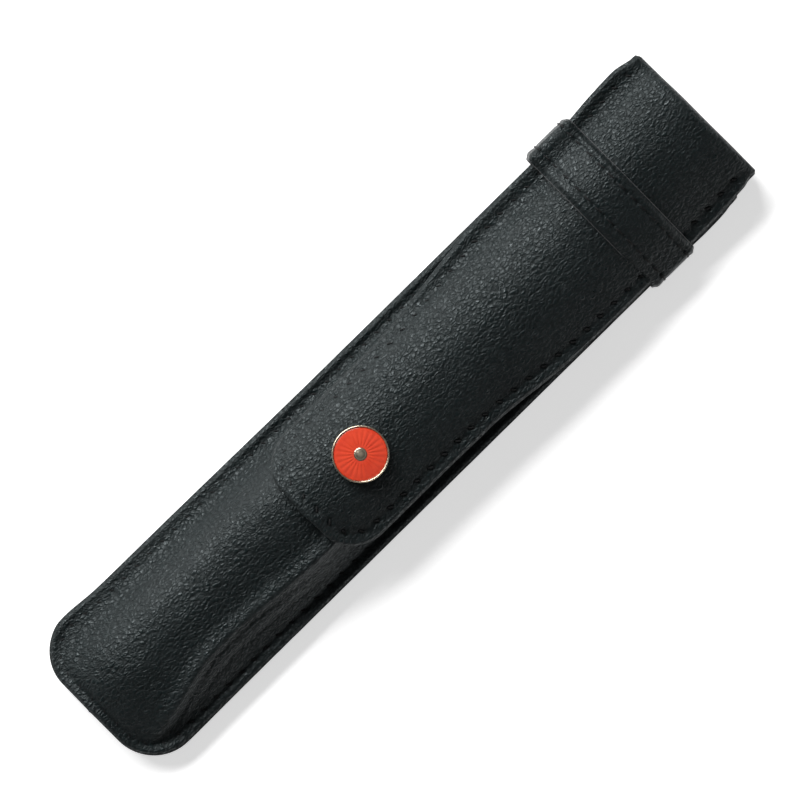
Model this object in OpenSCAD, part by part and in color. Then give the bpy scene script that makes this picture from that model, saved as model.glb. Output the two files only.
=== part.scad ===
// Fountain pen case: a sewn leather pouch for one pen, with a flap tucked under a keeper.
// The case lies on its back. +Y runs up to the fold, +X is the right side, +Z is the front.

/* [Pouch] */
// Length of the closed case from the bottom seam to the fold, mm
case_l = 165; // [158:1:175]
// Width across the sewn edges of the pouch, mm
case_w = 33.4; // [33:0.2:36]
// Height of the empty space inside the pouch, mm
pocket_h = 9.2; // [8.6:0.2:10.4]
// Radius of the two bottom corners, mm
corner_r = 9.2; // [8.4:0.2:10]
// Flat sewn margin left of the bulge, mm
margin_left = 3.2; // [3:0.1:3.4]
// Flat leather right of the bulge, where the front panel lies on the back, mm
margin_right = 6.5; // [6:0.1:7]

/* [Flap] */
// Width of the flap where it goes under the keeper, mm
flap_w = 32.8; // [32:0.2:32.8]
// Reach of the tongue below the fold, mm
flap_l = 108.8; // [100:0.4:112]
// Reach of the tongue to the left of the middle, mm
tongue_left = 12.9; // [12:0.1:14]
// Reach of the tongue to the right of the middle, mm
tongue_right = 13.9; // [12:0.1:14.4]
// Radius of the tongue's two corners, mm
tongue_r = 8.5; // [7:0.5:9]

/* [Keeper] */
// Distance of the keeper's lower edge from the fold, mm
keeper_from_top = 29.8; // [28:0.2:34]
// Width of the keeper band along the case, mm
keeper_band_w = 11; // [9:0.5:13]

/* [Badge] */
// Diameter of the badge rim, mm
badge_d = 11.1; // [9:0.1:12]
// Distance of the badge centre from the fold, mm
badge_from_top = 92.7; // [88:0.1:94]

/* [Stitching] */
// Pitch of the stitches on the pouch, mm
body_pitch = 3.4; // [3:0.1:4]
// Pitch of the stitches on the flap, mm
flap_pitch = 3.65; // [3.2:0.05:4.2]

/* [Hidden] */
$fn = 48;
y_top = case_l / 2;
y_bot = -case_l / 2;
hw = case_w / 2;

// layer thicknesses
keeper_leather_t = 0.7;
keeper_lining_t = 0.4;
keeper_play = 0.2;
back_t = 1.0;
stiff_t = 0.3;
lining_t = 0.4;
front_t = 0.9;
flap_lining_t = 0.4;
flap_stiff_t = 0.2;
flap_leather_t = 0.8;
flap_t = flap_lining_t + flap_stiff_t + flap_leather_t;

// heights of the layers above the ground
z_back = keeper_leather_t + keeper_lining_t + keeper_play;
z_seam = z_back + back_t + stiff_t + lining_t;
z_margin = z_seam + lining_t + front_t;
z_crest = z_seam + pocket_h + lining_t + front_t;
z_flap = z_crest + 0.3;
z_flap_top = z_flap + flap_t;

// hinge lines at the fold and below the keeper
knuckle_r = flap_t / 2;
hinge_gap = 0.3;
y_axis = y_top - knuckle_r;
z_axis_back = z_back + knuckle_r;
z_axis_front = z_flap_top - knuckle_r;
y_back_end = y_axis - knuckle_r - hinge_gap;
y_mouth = y_top - 6;
keeper_y0 = y_top - keeper_from_top;
keeper_y1 = keeper_y0 + keeper_band_w;
y_lift = keeper_y0 - 0.8;
lift_gap = 0.45;

// section of the bulge: foot fillet, straight wall, shoulder and crown
foot_x = hw - (margin_left + margin_right) / 2;
foot_r = 2;
wall_a = 66;
crown_a = 18;
crown_r = 10;
rest_x = foot_x - foot_r * sin(wall_a) - crown_r * sin(crown_a);
rest_z = pocket_h - foot_r * (1 - cos(wall_a)) - crown_r * (1 - cos(crown_a));
ds = sin(wall_a) - sin(crown_a);
dc = cos(crown_a) - cos(wall_a);
wall_l = (rest_z * ds - rest_x * dc) / (sin(wall_a) * ds - cos(wall_a) * dc);
shoulder_r = (rest_x - wall_l * cos(wall_a)) / ds;

foot_pts = [for (i = [0:4])
  let (a = wall_a * i / 4)
  [foot_x - foot_r * sin(a), foot_r * (1 - cos(a)), a]];
shoulder_c = [crown_r * sin(crown_a) - shoulder_r * sin(crown_a),
              pocket_h - crown_r + (crown_r - shoulder_r) * cos(crown_a)];
shoulder_pts = [for (i = [0:5])
  let (a = wall_a + (crown_a - wall_a) * i / 5)
  [shoulder_c[0] + shoulder_r * sin(a), shoulder_c[1] + shoulder_r * cos(a), a]];
crown_pts = [for (i = [1:3])
  let (a = crown_a * (1 - i / 3))
  [crown_r * sin(a), pocket_h - crown_r * (1 - cos(a)), a]];
right_pts = concat(foot_pts, shoulder_pts, crown_pts);
last = len(right_pts) - 1;
// the bulge lies left of the middle
bulge_x = (margin_left - margin_right) / 2;
// its section from left to right: [x, height, slope]
arch = concat(
  [for (p = right_pts) [-p[0], p[1], -p[2]]],
  [for (i = [1:last]) right_pts[last - i]]);

// half width of the pouch outline at a height y
function outline_w(y) =
  y >= y_bot + corner_r ? hw :
  hw - corner_r + sqrt(max(0, pow(corner_r, 2) - pow(y_bot + corner_r - y, 2)));
// the bulge rises from nothing at the bottom seam to its full height
rise_l = 10;
function rise_v(y) = min(1, max(0, (y - y_bot - 2.4) / rise_l));
function rise(y) = pow(rise_v(y), 2) * (3 - 2 * rise_v(y));
function rise_slope(y) = 6 * rise_v(y) * (1 - rise_v(y)) / rise_l;

pouch_rows = concat(
  [for (i = [0:9]) y_bot + corner_r * (1 - cos(10 * i))],
  [y_bot + 10.8, y_bot + 12.4, -20, 30, y_mouth]);

// one point of the front layers, pushed out by d from the space inside
function arch_pt(p, y, d) =
  let (
    k = (outline_w(y) - (margin_left + margin_right) / 2) / foot_x,
    t = rise(y),
    n = [t * sin(p[2]), -k * cos(p[2]) * p[1] * rise_slope(y), k * cos(p[2])],
    m = norm(n)
  )
  [bulge_x + p[0] * k, y, z_seam + p[1] * t] + d * n / m;

function front_row(y, d) = concat(
  [[-outline_w(y), y, z_seam + d]],
  [for (p = arch) arch_pt(p, y, d)],
  [[outline_w(y), y, z_seam + d]]);
function front_grid(d) = [for (y = pouch_rows) front_row(y, d)];

// section of the flap from its middle outwards: crown, shoulder, straight wing
flap_crown_r = 24;
flap_shoulder_r = 9;
flap_a1 = 18;
flap_a2 = 36;
deg = 180 / PI;
flap_l1 = flap_crown_r * flap_a1 / deg;
flap_l2 = flap_l1 + flap_shoulder_r * (flap_a2 - flap_a1) / deg;
flap_x1 = flap_crown_r * sin(flap_a1);
flap_z1 = -flap_crown_r * (1 - cos(flap_a1));
flap_x2 = flap_x1 + flap_shoulder_r * (sin(flap_a2) - sin(flap_a1));
flap_z2 = flap_z1 - flap_shoulder_r * (cos(flap_a1) - cos(flap_a2));
// [x, drop, slope] at a length l along the section
function flap_at(l) =
  l <= flap_l1 ?
    let (a = l / flap_crown_r * deg)
    [flap_crown_r * sin(a), -flap_crown_r * (1 - cos(a)), a] :
  l <= flap_l2 ?
    let (a = flap_a1 + (l - flap_l1) / flap_shoulder_r * deg)
    [flap_x1 + flap_shoulder_r * (sin(a) - sin(flap_a1)),
     flap_z1 - flap_shoulder_r * (cos(flap_a1) - cos(a)), a] :
  [flap_x2 + (l - flap_l2) * cos(flap_a2), flap_z2 - (l - flap_l2) * sin(flap_a2), flap_a2];
// length along the section for an outer edge w from the middle
function flap_len(w) =
  w - flap_t * sin(flap_a2) > flap_x2 ?
    flap_l2 + (w - flap_t * sin(flap_a2) - flap_x2) / cos(flap_a2) :
  w;

// half widths of the flap along its length
y_tip = y_top - flap_l;
taper_y0 = y_tip + 34;
taper_y1 = y_tip + 62;
function ease(v) = let (c = min(1, max(0, v))) c * c * (3 - 2 * c);
function tip_cut(y) =
  y >= y_tip + tongue_r ? 0 :
  tongue_r - sqrt(max(0, pow(tongue_r, 2) - pow(y_tip + tongue_r - y, 2)));
function flap_half(y, narrow) =
  narrow + (flap_w / 2 - narrow) * ease((y - taper_y0) / (taper_y1 - taper_y0)) - tip_cut(y);
// the flap is arched over the pouch and straight across at the fold
function arch_share(y) = 1 - ease((y - (y_top - 18)) / 15);

cols = 9;
function flap_pt(y, side, f, d) =
  let (
    w = flap_half(y, side > 0 ? tongue_right : tongue_left),
    l_max = flap_len(w),
    l = f * l_max,
    p = flap_at(l),
    k = arch_share(y),
    a = k * p[2],
    x = (1 - k) * w * f + k * p[0]
  )
  [side * (x + d * sin(a)), y, z_flap + k * p[1] + d * cos(a)];
function flap_row(y, d) = concat(
  [for (i = [cols:-1:1]) flap_pt(y, -1, i / cols, d)],
  [for (i = [0:cols]) flap_pt(y, 1, i / cols, d)]);

flap_rows = [y_lift + lift_gap, keeper_y1 + 0.5, y_top - 18, y_top - 15, y_top - 12,
             y_top - 9, y_top - 6, y_top - 3, y_axis - knuckle_r - hinge_gap];
tongue_rows = concat(
  [for (i = [0:8]) y_tip + tongue_r * (1 - cos(90 / 8 * i))],
  [y_tip + 20, taper_y0],
  [for (i = [1:6]) taper_y0 + (taper_y1 - taper_y0) * i / 6],
  [y_lift - lift_gap]);
function flap_grid(rows, d) = [for (y = rows) flap_row(y, d)];

// a closed sheet between an outer and an inner grid of points
module sheet_between(outer, inner) {
  nr = len(outer);
  nc = len(outer[0]);
  pts = concat([for (r = outer) for (p = r) p], [for (r = inner) for (p = r) p]);
  function t(i, j) = j * nc + i;
  function b(i, j) = nr * nc + j * nc + i;
  faces = concat(
    [for (j = [0:nr - 2]) for (i = [0:nc - 2]) [t(i, j), t(i, j + 1), t(i + 1, j + 1)]],
    [for (j = [0:nr - 2]) for (i = [0:nc - 2]) [t(i, j), t(i + 1, j + 1), t(i + 1, j)]],
    [for (j = [0:nr - 2]) for (i = [0:nc - 2]) [b(i, j), b(i + 1, j + 1), b(i, j + 1)]],
    [for (j = [0:nr - 2]) for (i = [0:nc - 2]) [b(i, j), b(i + 1, j), b(i + 1, j + 1)]],
    [for (i = [0:nc - 2]) [b(i, 0), t(i, 0), t(i + 1, 0)]],
    [for (i = [0:nc - 2]) [b(i, 0), t(i + 1, 0), b(i + 1, 0)]],
    [for (i = [0:nc - 2]) [t(i + 1, nr - 1), t(i, nr - 1), b(i, nr - 1)]],
    [for (i = [0:nc - 2]) [t(i + 1, nr - 1), b(i, nr - 1), b(i + 1, nr - 1)]],
    [for (j = [0:nr - 2]) [t(0, j + 1), t(0, j), b(0, j)]],
    [for (j = [0:nr - 2]) [t(0, j + 1), b(0, j), b(0, j + 1)]],
    [for (j = [0:nr - 2]) [t(nc - 1, j), t(nc - 1, j + 1), b(nc - 1, j + 1)]],
    [for (j = [0:nr - 2]) [t(nc - 1, j), b(nc - 1, j + 1), b(nc - 1, j)]]);
  polyhedron(points = pts, faces = faces);
}

// outline of the pouch, drawn in by inset, up to y_end
module pouch_outline(inset, y_end) {
  r = corner_r - inset;
  translate([-hw + inset, y_bot + corner_r])
    square([2 * (hw - inset), y_end - y_bot - corner_r]);
  translate([-hw + corner_r, y_bot + inset])
    square([2 * (hw - corner_r), corner_r]);
  for (s = [-1, 1])
    translate([s * (hw - corner_r), y_bot + corner_r])
      circle(r = r, $fn = 96);
}

// one stitch: a short six-sided bar of thread along its own x
thread_d = 0.5;
module stitch(length) {
  rotate([0, 90, 0])
    cylinder(d = thread_d, h = length, center = true, $fn = 6);
}

// section of everything the keeper goes round
module held_section() {
  hull() {
    polygon([for (p = flap_row(keeper_y0, flap_t)) [p[0], p[2]]]);
    translate([-hw, z_back])
      square([2 * hw, z_margin - z_back]);
  }
}
module keeper_ring(inner, outer) {
  translate([0, keeper_y1, 0])
    rotate([90, 0, 0])
      linear_extrude(height = keeper_band_w)
        difference() {
          offset(r = outer, $fn = 40)
            held_section();
          offset(r = inner, $fn = 40)
            held_section();
        }
}
keeper_in = keeper_play;
keeper_mid = keeper_play + keeper_lining_t;
keeper_out = keeper_mid + keeper_leather_t;

// a row of stitches on the keeper's face, at a distance y along the case
module keeper_row(y) {
  l_end = flap_len(flap_w / 2) - 1.2;
  n = 4;
  for (side = [-1, 1])
    for (i = [0:n]) {
      p = flap_at((i + 0.5) / (n + 0.5) * (l_end - 1.2));
      lift = flap_t + keeper_out;
      translate([side * (p[0] + lift * sin(p[2])), y, z_flap + p[1] + lift * cos(p[2])])
        rotate([0, side * p[2], 0])
          stitch(2.2);
    }
  for (side = [-1, 1])
    for (z = [z_back + 2, z_back + 5.2])
      translate([side * (hw + keeper_out), y, z])
        rotate([0, 90, 0])
          stitch(2.2);
  for (i = [-4:4])
    translate([i * 3.3, y, thread_d / 2])
      stitch(2.4);
}

// ---- pouch ----
module back_panel() {
  color("#2b2f33")
    translate([0, 0, z_back])
      linear_extrude(height = back_t)
        pouch_outline(0, y_back_end);
}
module back_stiffener() {
  color("#8a7a5c")
    translate([0, 0, z_back + back_t])
      linear_extrude(height = stiff_t)
        pouch_outline(0, y_back_end);
}
module back_lining() {
  color("#4a4a4e")
    translate([0, 0, z_back + back_t + stiff_t])
      linear_extrude(height = lining_t)
        pouch_outline(0, y_back_end);
}
module front_panel() {
  color("#2b2f33")
    sheet_between(front_grid(lining_t + front_t), front_grid(lining_t));
}
module front_lining() {
  color("#4a4a4e")
    sheet_between(front_grid(lining_t), front_grid(0));
}

stitch_in = 2.2;
side_l = y_mouth - (y_bot + corner_r);
side_n = floor(side_l / body_pitch);
arc_r = corner_r - stitch_in;
// one stitch of the body seam, seen on the front and on the back
module seam_stitch(x, y, turn) {
  for (z = [z_margin + 0.05, z_back + 0.18])
    translate([x, y, z])
      rotate([0, 0, turn])
        stitch(2.6);
}
module body_stitching() {
  color("#15171a") {
    for (side = [-1, 1])
      for (i = [0:side_n - 1])
        seam_stitch(side * (hw - stitch_in), y_bot + corner_r + (i + 0.5) * body_pitch, 90);
    for (side = [-1, 1])
      for (a = [15, 45, 75])
        seam_stitch(side * (hw - corner_r + arc_r * cos(a)),
                    y_bot + corner_r - arc_r * sin(a), 90 - side * a);
    for (i = [-1.5:1:1.5])
      seam_stitch(i * 3.6, y_bot + stitch_in, 0);
  }
}
// [x, height, slope] of the mouth stitches on the right half of the bulge
mouth_lift = lining_t + front_t;
function mouth_wall(l) = [
  shoulder_c[0] + (shoulder_r + mouth_lift) * sin(wall_a) + l * cos(wall_a),
  shoulder_c[1] + (shoulder_r + mouth_lift) * cos(wall_a) - l * sin(wall_a), wall_a];
function mouth_shoulder(a) = [
  shoulder_c[0] + (shoulder_r + mouth_lift) * sin(a),
  shoulder_c[1] + (shoulder_r + mouth_lift) * cos(a), a];
mouth_stitches = [
  [(crown_r + mouth_lift) * sin(16), pocket_h - crown_r + (crown_r + mouth_lift) * cos(16), 16],
  mouth_shoulder(34),
  mouth_shoulder(54),
  mouth_wall(1.7)];
module mouth_stitching() {
  color("#15171a") {
    translate([bulge_x, y_mouth - 2.2, z_crest + 0.02])
      stitch(2.4);
    for (side = [-1, 1])
      for (p = mouth_stitches)
        translate([bulge_x + side * p[0], y_mouth - 2.2, z_seam + p[1] + 0.02])
          rotate([0, side * p[2], 0])
            stitch(2.3);
  }
}

module keeper_band() {
  color("#303438")
    keeper_ring(keeper_mid, keeper_out);
}
module keeper_lining() {
  color("#5a5a5e")
    keeper_ring(keeper_in, keeper_mid);
}
module keeper_stitch_lower() {
  color("#15171a")
    keeper_row(keeper_y0 + 2.9);
}
module keeper_stitch_upper() {
  color("#15171a")
    keeper_row(keeper_y1 - 1.6);
}
// the tack that holds the loop to the back panel: three legs of thread between two bars
module keeper_tack() {
  color("#15171a")
    translate([0, (keeper_y0 + keeper_y1) / 2, 0]) {
      for (z = [0.55, z_back + 0.45])
        translate([-4, -0.3, z])
          cube([8, 0.6, 0.4]);
      for (x = [-3.6, 0, 3.6])
        translate([x, 0, 0.8])
          cylinder(d = 0.6, h = z_back - 0.2, $fn = 24);
    }
}

// ---- fold over the mouth ----
fold_half = hw - 0.1;
module across(half) {
  rotate([90, 0, 90])
    linear_extrude(height = 2 * half, center = true)
      children();
}
module fold_leather() {
  color("#2b2f33")
    across(fold_half)
      difference() {
        union() {
          translate([y_axis, z_axis_back])
            circle(r = knuckle_r);
          translate([y_axis, z_axis_front])
            circle(r = knuckle_r);
          translate([y_axis - knuckle_r, z_axis_back])
            square([2 * knuckle_r, z_axis_front - z_axis_back]);
        }
        translate([y_axis - knuckle_r - 1, z_axis_back])
          square([1 + flap_lining_t + flap_stiff_t, z_axis_front - z_axis_back]);
      }
}
module fold_lining() {
  color("#4a4a4e")
    across(fold_half)
      translate([y_axis - knuckle_r, z_axis_back])
        square([flap_lining_t + flap_stiff_t, z_axis_front - z_axis_back]);
}

// ---- flap ----
module flap_layer(rows, low, high) {
  sheet_between(flap_grid(rows, high), flap_grid(rows, low));
}
module flap_leather() {
  color("#2b2f33")
    flap_layer(flap_rows, flap_lining_t + flap_stiff_t, flap_t);
}
module flap_stiffener() {
  color("#8a7a5c")
    flap_layer(flap_rows, flap_lining_t, flap_lining_t + flap_stiff_t);
}
module flap_lining() {
  color("#4a4a4e")
    flap_layer(flap_rows, 0, flap_lining_t);
}
// one stitch on the outside of the flap, running along the case
edge_in = 2.5;
module flap_stitch(y, side, turn) {
  w = flap_half(y, side > 0 ? tongue_right : tongue_left);
  f = (w - edge_in) / w;
  p = flap_pt(y, side, f, flap_t + 0.02);
  translate(p)
    rotate([0, side * arch_share(y) * flap_at(f * flap_len(w))[2], 0])
      rotate([0, 0, turn])
        stitch(2.6);
}
upper_n = floor((y_top - 4 - y_lift - 1.2) / flap_pitch);
module flap_stitching() {
  color("#15171a")
    for (side = [-1, 1])
      for (i = [0:upper_n - 1])
        let (y = y_lift + 1.6 + (i + 0.5) * flap_pitch)
        if (y < keeper_y0 - 2 || y > keeper_y1 + 1.6)
          flap_stitch(y, side, 90);
}

// ---- tongue ----
module tongue_leather() {
  color("#2b2f33")
    flap_layer(tongue_rows, flap_lining_t + flap_stiff_t, flap_t);
}
module tongue_stiffener() {
  color("#8a7a5c")
    flap_layer(tongue_rows, flap_lining_t, flap_lining_t + flap_stiff_t);
}
module tongue_lining() {
  color("#4a4a4e")
    flap_layer(tongue_rows, 0, flap_lining_t);
}
tongue_n = floor((y_lift - 2 - y_tip - tongue_r) / flap_pitch);
// a tongue stitch at a point x from the middle
module tip_stitch(x, y, turn) {
  side = x < 0 ? -1 : 1;
  p = flap_at(abs(x) * 1.02);
  translate([side * (p[0] + flap_t * sin(p[2])), y, z_flap + p[1] + flap_t * cos(p[2]) + 0.02])
    rotate([0, side * p[2], 0])
      rotate([0, 0, turn])
        stitch(2.5);
}
module tongue_stitching() {
  color("#15171a") {
    for (side = [-1, 1])
      for (i = [0:tongue_n - 1])
        flap_stitch(y_tip + tongue_r + (i + 0.5) * flap_pitch, side, 90);
    for (side = [-1, 1])
      for (a = [18, 54])
        let (w = (side > 0 ? tongue_right : tongue_left) - tongue_r)
        tip_stitch(side * (w - 0.4 + (tongue_r - edge_in) * cos(a)),
                   y_tip + tongue_r - (tongue_r - edge_in) * sin(a), 90 - side * a);
    for (i = [-1:1])
      tip_stitch(0.5 + i * flap_pitch, y_tip + edge_in, 0);
  }
}

// ---- badge ----
badge_x = 0.4;
badge_y = y_top - badge_from_top;
badge_r = badge_d / 2;
rim_t = 0.35;
module badge_rim() {
  color("#c9b48a")
    translate([badge_x, badge_y, 0]) {
      translate([0, 0, z_flap_top])
        cylinder(r = badge_r - 0.1, h = 0.3, $fn = 64);
      translate([0, 0, z_flap_top + 0.1])
        difference() {
          cylinder(r = badge_r, h = 0.8, $fn = 64);
          translate([0, 0, 0.2])
            cylinder(r = badge_r - rim_t, h = 1, $fn = 64);
          translate([0, 0, -1])
            cylinder(r = badge_r - rim_t, h = 1.1, $fn = 64);
        }
      translate([0, 0, z_flap + 0.1])
        cylinder(r = 1.1, h = flap_t, $fn = 32);
    }
}
// domed disc with fine raised rays
module badge_enamel() {
  color("#b01a20")
    translate([badge_x, badge_y, z_flap_top + 0.3])
      difference() {
        rotate_extrude($fn = 64)
          polygon(concat(
            [[0, 0], [badge_r - rim_t, 0]],
            [for (i = [0:8])
              let (r = (badge_r - rim_t) * (1 - i / 8))
              [r, 0.45 + 0.35 * (1 - pow(r / badge_r, 2))]]));
        for (a = [0:30:330])
          rotate([0, 0, a])
            translate([badge_r * 0.42, 0, 0.86])
              rotate([0, 88, 0])
                cylinder(d = 0.36, h = badge_r * 0.42, $fn = 6);
      }
}
module badge_cap() {
  color("#c9b48a")
    translate([badge_x, badge_y, z_flap_top + 0.3 + 0.75])
      rotate_extrude($fn = 48)
        polygon([[0, 0], [1.25, 0], [1.25, 0.03], [1.1, 0.14], [0.7, 0.21], [0, 0.23]]);
}
module badge_washer() {
  color("#a8a8a8")
    translate([badge_x, badge_y, z_flap - 0.12])
      difference() {
        cylinder(r = 2.3, h = 0.3, $fn = 48);
        translate([0, 0, -1])
          cylinder(r = 1.1, h = 3, $fn = 32);
      }
}

back_panel();
back_stiffener();
back_lining();
front_panel();
front_lining();
body_stitching();
mouth_stitching();
keeper_band();
keeper_lining();
keeper_stitch_lower();
keeper_stitch_upper();
keeper_tack();
fold_leather();
fold_lining();
flap_leather();
flap_stiffener();
flap_lining();
flap_stitching();
tongue_leather();
tongue_stiffener();
tongue_lining();
tongue_stitching();
badge_rim();
badge_enamel();
badge_cap();
badge_washer();
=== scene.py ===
import math

import bmesh
import bpy
import numpy as np
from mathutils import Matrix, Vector


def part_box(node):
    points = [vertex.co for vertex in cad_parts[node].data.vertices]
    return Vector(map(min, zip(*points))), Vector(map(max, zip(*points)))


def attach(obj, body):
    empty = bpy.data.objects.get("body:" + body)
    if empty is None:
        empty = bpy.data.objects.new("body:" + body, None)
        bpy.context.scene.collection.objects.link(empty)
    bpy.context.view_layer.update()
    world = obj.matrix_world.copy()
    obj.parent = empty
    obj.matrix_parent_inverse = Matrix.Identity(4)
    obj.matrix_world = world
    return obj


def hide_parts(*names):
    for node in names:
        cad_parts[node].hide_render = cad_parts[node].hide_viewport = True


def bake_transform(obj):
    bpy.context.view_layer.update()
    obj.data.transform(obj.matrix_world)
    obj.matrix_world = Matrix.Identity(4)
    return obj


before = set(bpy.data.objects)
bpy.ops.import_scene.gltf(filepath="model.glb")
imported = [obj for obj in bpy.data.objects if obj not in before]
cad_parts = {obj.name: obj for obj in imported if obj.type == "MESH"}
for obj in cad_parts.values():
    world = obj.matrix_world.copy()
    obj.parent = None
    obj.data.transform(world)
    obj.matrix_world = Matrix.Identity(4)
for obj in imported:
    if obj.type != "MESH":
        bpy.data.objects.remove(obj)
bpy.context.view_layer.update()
MM = 0.001
GRAIN_UNIT = 100  # millimetres of leather in one unit of the UV map


def node_mm(name):
    """Corners of a CAD node's box, in millimetres."""
    lo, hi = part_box(name)
    return np.array(lo) * 1000, np.array(hi) * 1000


# ------------------------ sizes from the frame, mm
back_lo, back_hi = node_mm("back_panel")
front_hi = node_mm("front_panel")[1]
fold_hi = node_mm("fold_leather")[1]
tongue_lo = node_mm("tongue_leather")[0]
flap_hi = node_mm("flap_leather")[1]
keep_lo, keep_hi = node_mm("keeper_band")
rim_lo, rim_hi = node_mm("badge_rim")
washer_lo = node_mm("badge_washer")[0]

Y_BOT, Y_TOP = back_lo[1], fold_hi[1]
Z_BACK = back_lo[2]
BACK_T = back_hi[2] - back_lo[2]
Z_SEAM = Z_BACK + 1.7  # where the back and the front meet in the seam
Z_MARGIN = Z_SEAM + 1.3  # outside of the front leather on the sewn margin
Z_CREST = front_hi[2]
Z_FLAP = flap_hi[2]
Y_MOUTH = front_hi[1]
Y_MOUTH_SEAM = Y_MOUTH - 2.2
Y_TIP = tongue_lo[1]
KEEP_Y0, KEEP_Y1 = keep_lo[1], keep_hi[1]
KEEP_MID = (KEEP_Y0 + KEEP_Y1) / 2
SPLIT_Y = KEEP_MID  # the back and the strip are divided here, under the keeper
rng = np.random.default_rng(7)  # shared by all stitches, in the order they are made


# ------------------------ small maths
def ease(v):
    """Smooth step from 0 to 1."""
    v = np.clip(v, 0, 1)
    return v * v * (3 - 2 * v)


def bell(v):
    """Bump of height 1 with soft flanks."""
    return np.exp(-v * v)


def soft_floor(v, e):
    """v held above 0, with a bend of size e."""
    return 0.5 * (v + np.sqrt(v * v + e * e))


LATTICE = 97
_lattices = {}


def noise2(x, y, size, seed):
    """Smooth noise from -1 to 1 with cells of the given size in mm."""
    if seed not in _lattices:
        _lattices[seed] = np.random.default_rng(seed).uniform(-1, 1, (LATTICE, LATTICE))
    g = _lattices[seed]
    px, py = np.asarray(x) / size + 31.7, np.asarray(y) / size + 47.3
    ix, iy = np.floor(px).astype(int), np.floor(py).astype(int)
    fx, fy = ease(px - ix), ease(py - iy)
    i0, i1, j0, j1 = ix % LATTICE, (ix + 1) % LATTICE, iy % LATTICE, (iy + 1) % LATTICE
    a, b, c, d = g[i0, j0], g[i1, j0], g[i0, j1], g[i1, j1]
    return (a * (1 - fx) + b * fx) * (1 - fy) + (c * (1 - fx) + d * fx) * fy


def clustered(n, power=1.6):
    """n values from -1 to 1, closer together near both ends."""
    t = np.linspace(-1, 1, n)
    return np.sign(t) * (1 - (1 - np.abs(t)) ** power)


def unit(v):
    """The same directions with length 1."""
    return v / np.maximum(np.linalg.norm(v, axis=-1, keepdims=True), 1e-9)


def resample(points, pitch):
    """Positions and directions spaced by about pitch along a polyline."""
    p = np.asarray(points, float)
    s = np.concatenate([[0], np.cumsum(np.linalg.norm(np.diff(p, axis=0), axis=1))])
    n = max(2, int(round(s[-1] / pitch)))
    at = (np.arange(n) + 0.5) * s[-1] / n

    def sample(length):
        return np.stack([np.interp(length, s, p[:, k]) for k in range(p.shape[1])], 1)

    e = 0.05
    return sample(at), unit(sample(at + e) - sample(at - e))


# ------------------------ mesh making
def end_lift(x, y):
    """The filled pouch arches up a little in the middle towards its closed end."""
    arch = 1 + np.cos(math.pi * np.clip((x + 0.8) / 14.5, -1, 1))
    return 2.4 * ease((-60 - y) / 20) * 0.5 * arch


def new_object(name, verts, faces, grain=None):
    """A smooth object from points in mm; grain holds the leather's coordinates, in mm too."""
    mesh = bpy.data.meshes.new(name)
    verts = np.array(verts, float)
    verts[:, 2] += end_lift(verts[:, 0], verts[:, 1])
    mesh.from_pydata((verts * MM).tolist(), [], faces)
    if grain is not None:
        grain = np.asarray(grain) / GRAIN_UNIT
        layer = mesh.uv_layers.new(name="grain")
        loops = np.empty(len(mesh.loops), int)
        mesh.loops.foreach_get("vertex_index", loops)
        layer.data.foreach_set("uv", grain[loops].astype(np.float32).ravel())
    bm = bmesh.new()
    bm.from_mesh(mesh)
    bmesh.ops.recalc_face_normals(bm, faces=bm.faces)
    bm.to_mesh(mesh)
    bm.free()
    mesh.shade_smooth()
    obj = bpy.data.objects.new(name, mesh)
    bpy.context.collection.objects.link(obj)
    return obj


def flat(g):
    return g.reshape(-1, g.shape[-1])


def grid_faces(index, across):
    """Quads between neighbouring rows of point numbers; across is the next row's numbers."""
    return flat(np.stack([index[:, :-1], index[:, 1:], across[:, 1:], across[:, :-1]], -1))


def band_faces(ring, following):
    """Quads between two closed rings of point numbers."""
    return np.stack([ring, following, np.roll(following, -1), np.roll(ring, -1)], 1)


def slab(name, outer, inner, uv, rim, bulge=1.0, skip=()):
    """A closed sheet between two grids of points, with half-round edges made of rim rings.
    uv holds the grain coordinates of the outer grid, in mm. The ends named in skip stay flat."""
    nr, nc = outer.shape[:2]
    index = np.arange(nr * nc).reshape(nr, nc)
    q = grid_faces(index[:-1], index[1:])
    base = nr * nc
    faces = [q, q[:, ::-1] + base]
    loop = np.concatenate([index[0, :], index[1:, -1], index[-1, -2::-1], index[-2:0:-1, 0]])
    near = np.concatenate([index[1, :], index[1:, -2], index[-2, -2::-1], index[-2:0:-1, 1]])
    po, pi = flat(outer)[loop], flat(inner)[loop]
    mid, half = (po + pi) / 2, (po - pi) / 2
    size = np.linalg.norm(half, axis=1)[:, None]
    away = mid - (flat(outer)[near] + flat(inner)[near]) / 2
    away -= half * (np.sum(away * half, 1)[:, None] / np.maximum(size**2, 1e-9))
    away = unit(away)
    if "first" in skip:
        away[:nc] = 0
    if "last" in skip:
        away[nc + nr - 2:2 * nc + nr - 2] = 0
    uvf = flat(uv)
    duv = unit(uvf[loop] - uvf[near])
    points, coords = [flat(outer), flat(inner)], [uvf, uvf]
    ring, count = loop, 2 * base
    m = len(loop)
    for k in range(1, rim + 1):
        th = math.pi * k / (rim + 1)
        points.append(mid + half * math.cos(th) + away * size * bulge * math.sin(th))
        coords.append(uvf[loop] + duv * size * th)
        nxt = count + np.arange(m)
        faces.append(band_faces(ring, nxt))
        ring, count = nxt, count + m
    faces.append(band_faces(ring, loop + base))
    obj = new_object(name, np.concatenate(points), np.concatenate(faces).tolist(), np.concatenate(coords))
    if skip:
        obj.data.set_sharp_from_angle(angle=math.radians(60))
    return obj


def normals_of(grid):
    return unit(np.cross(np.gradient(grid, axis=1), np.gradient(grid, axis=0)))


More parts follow.
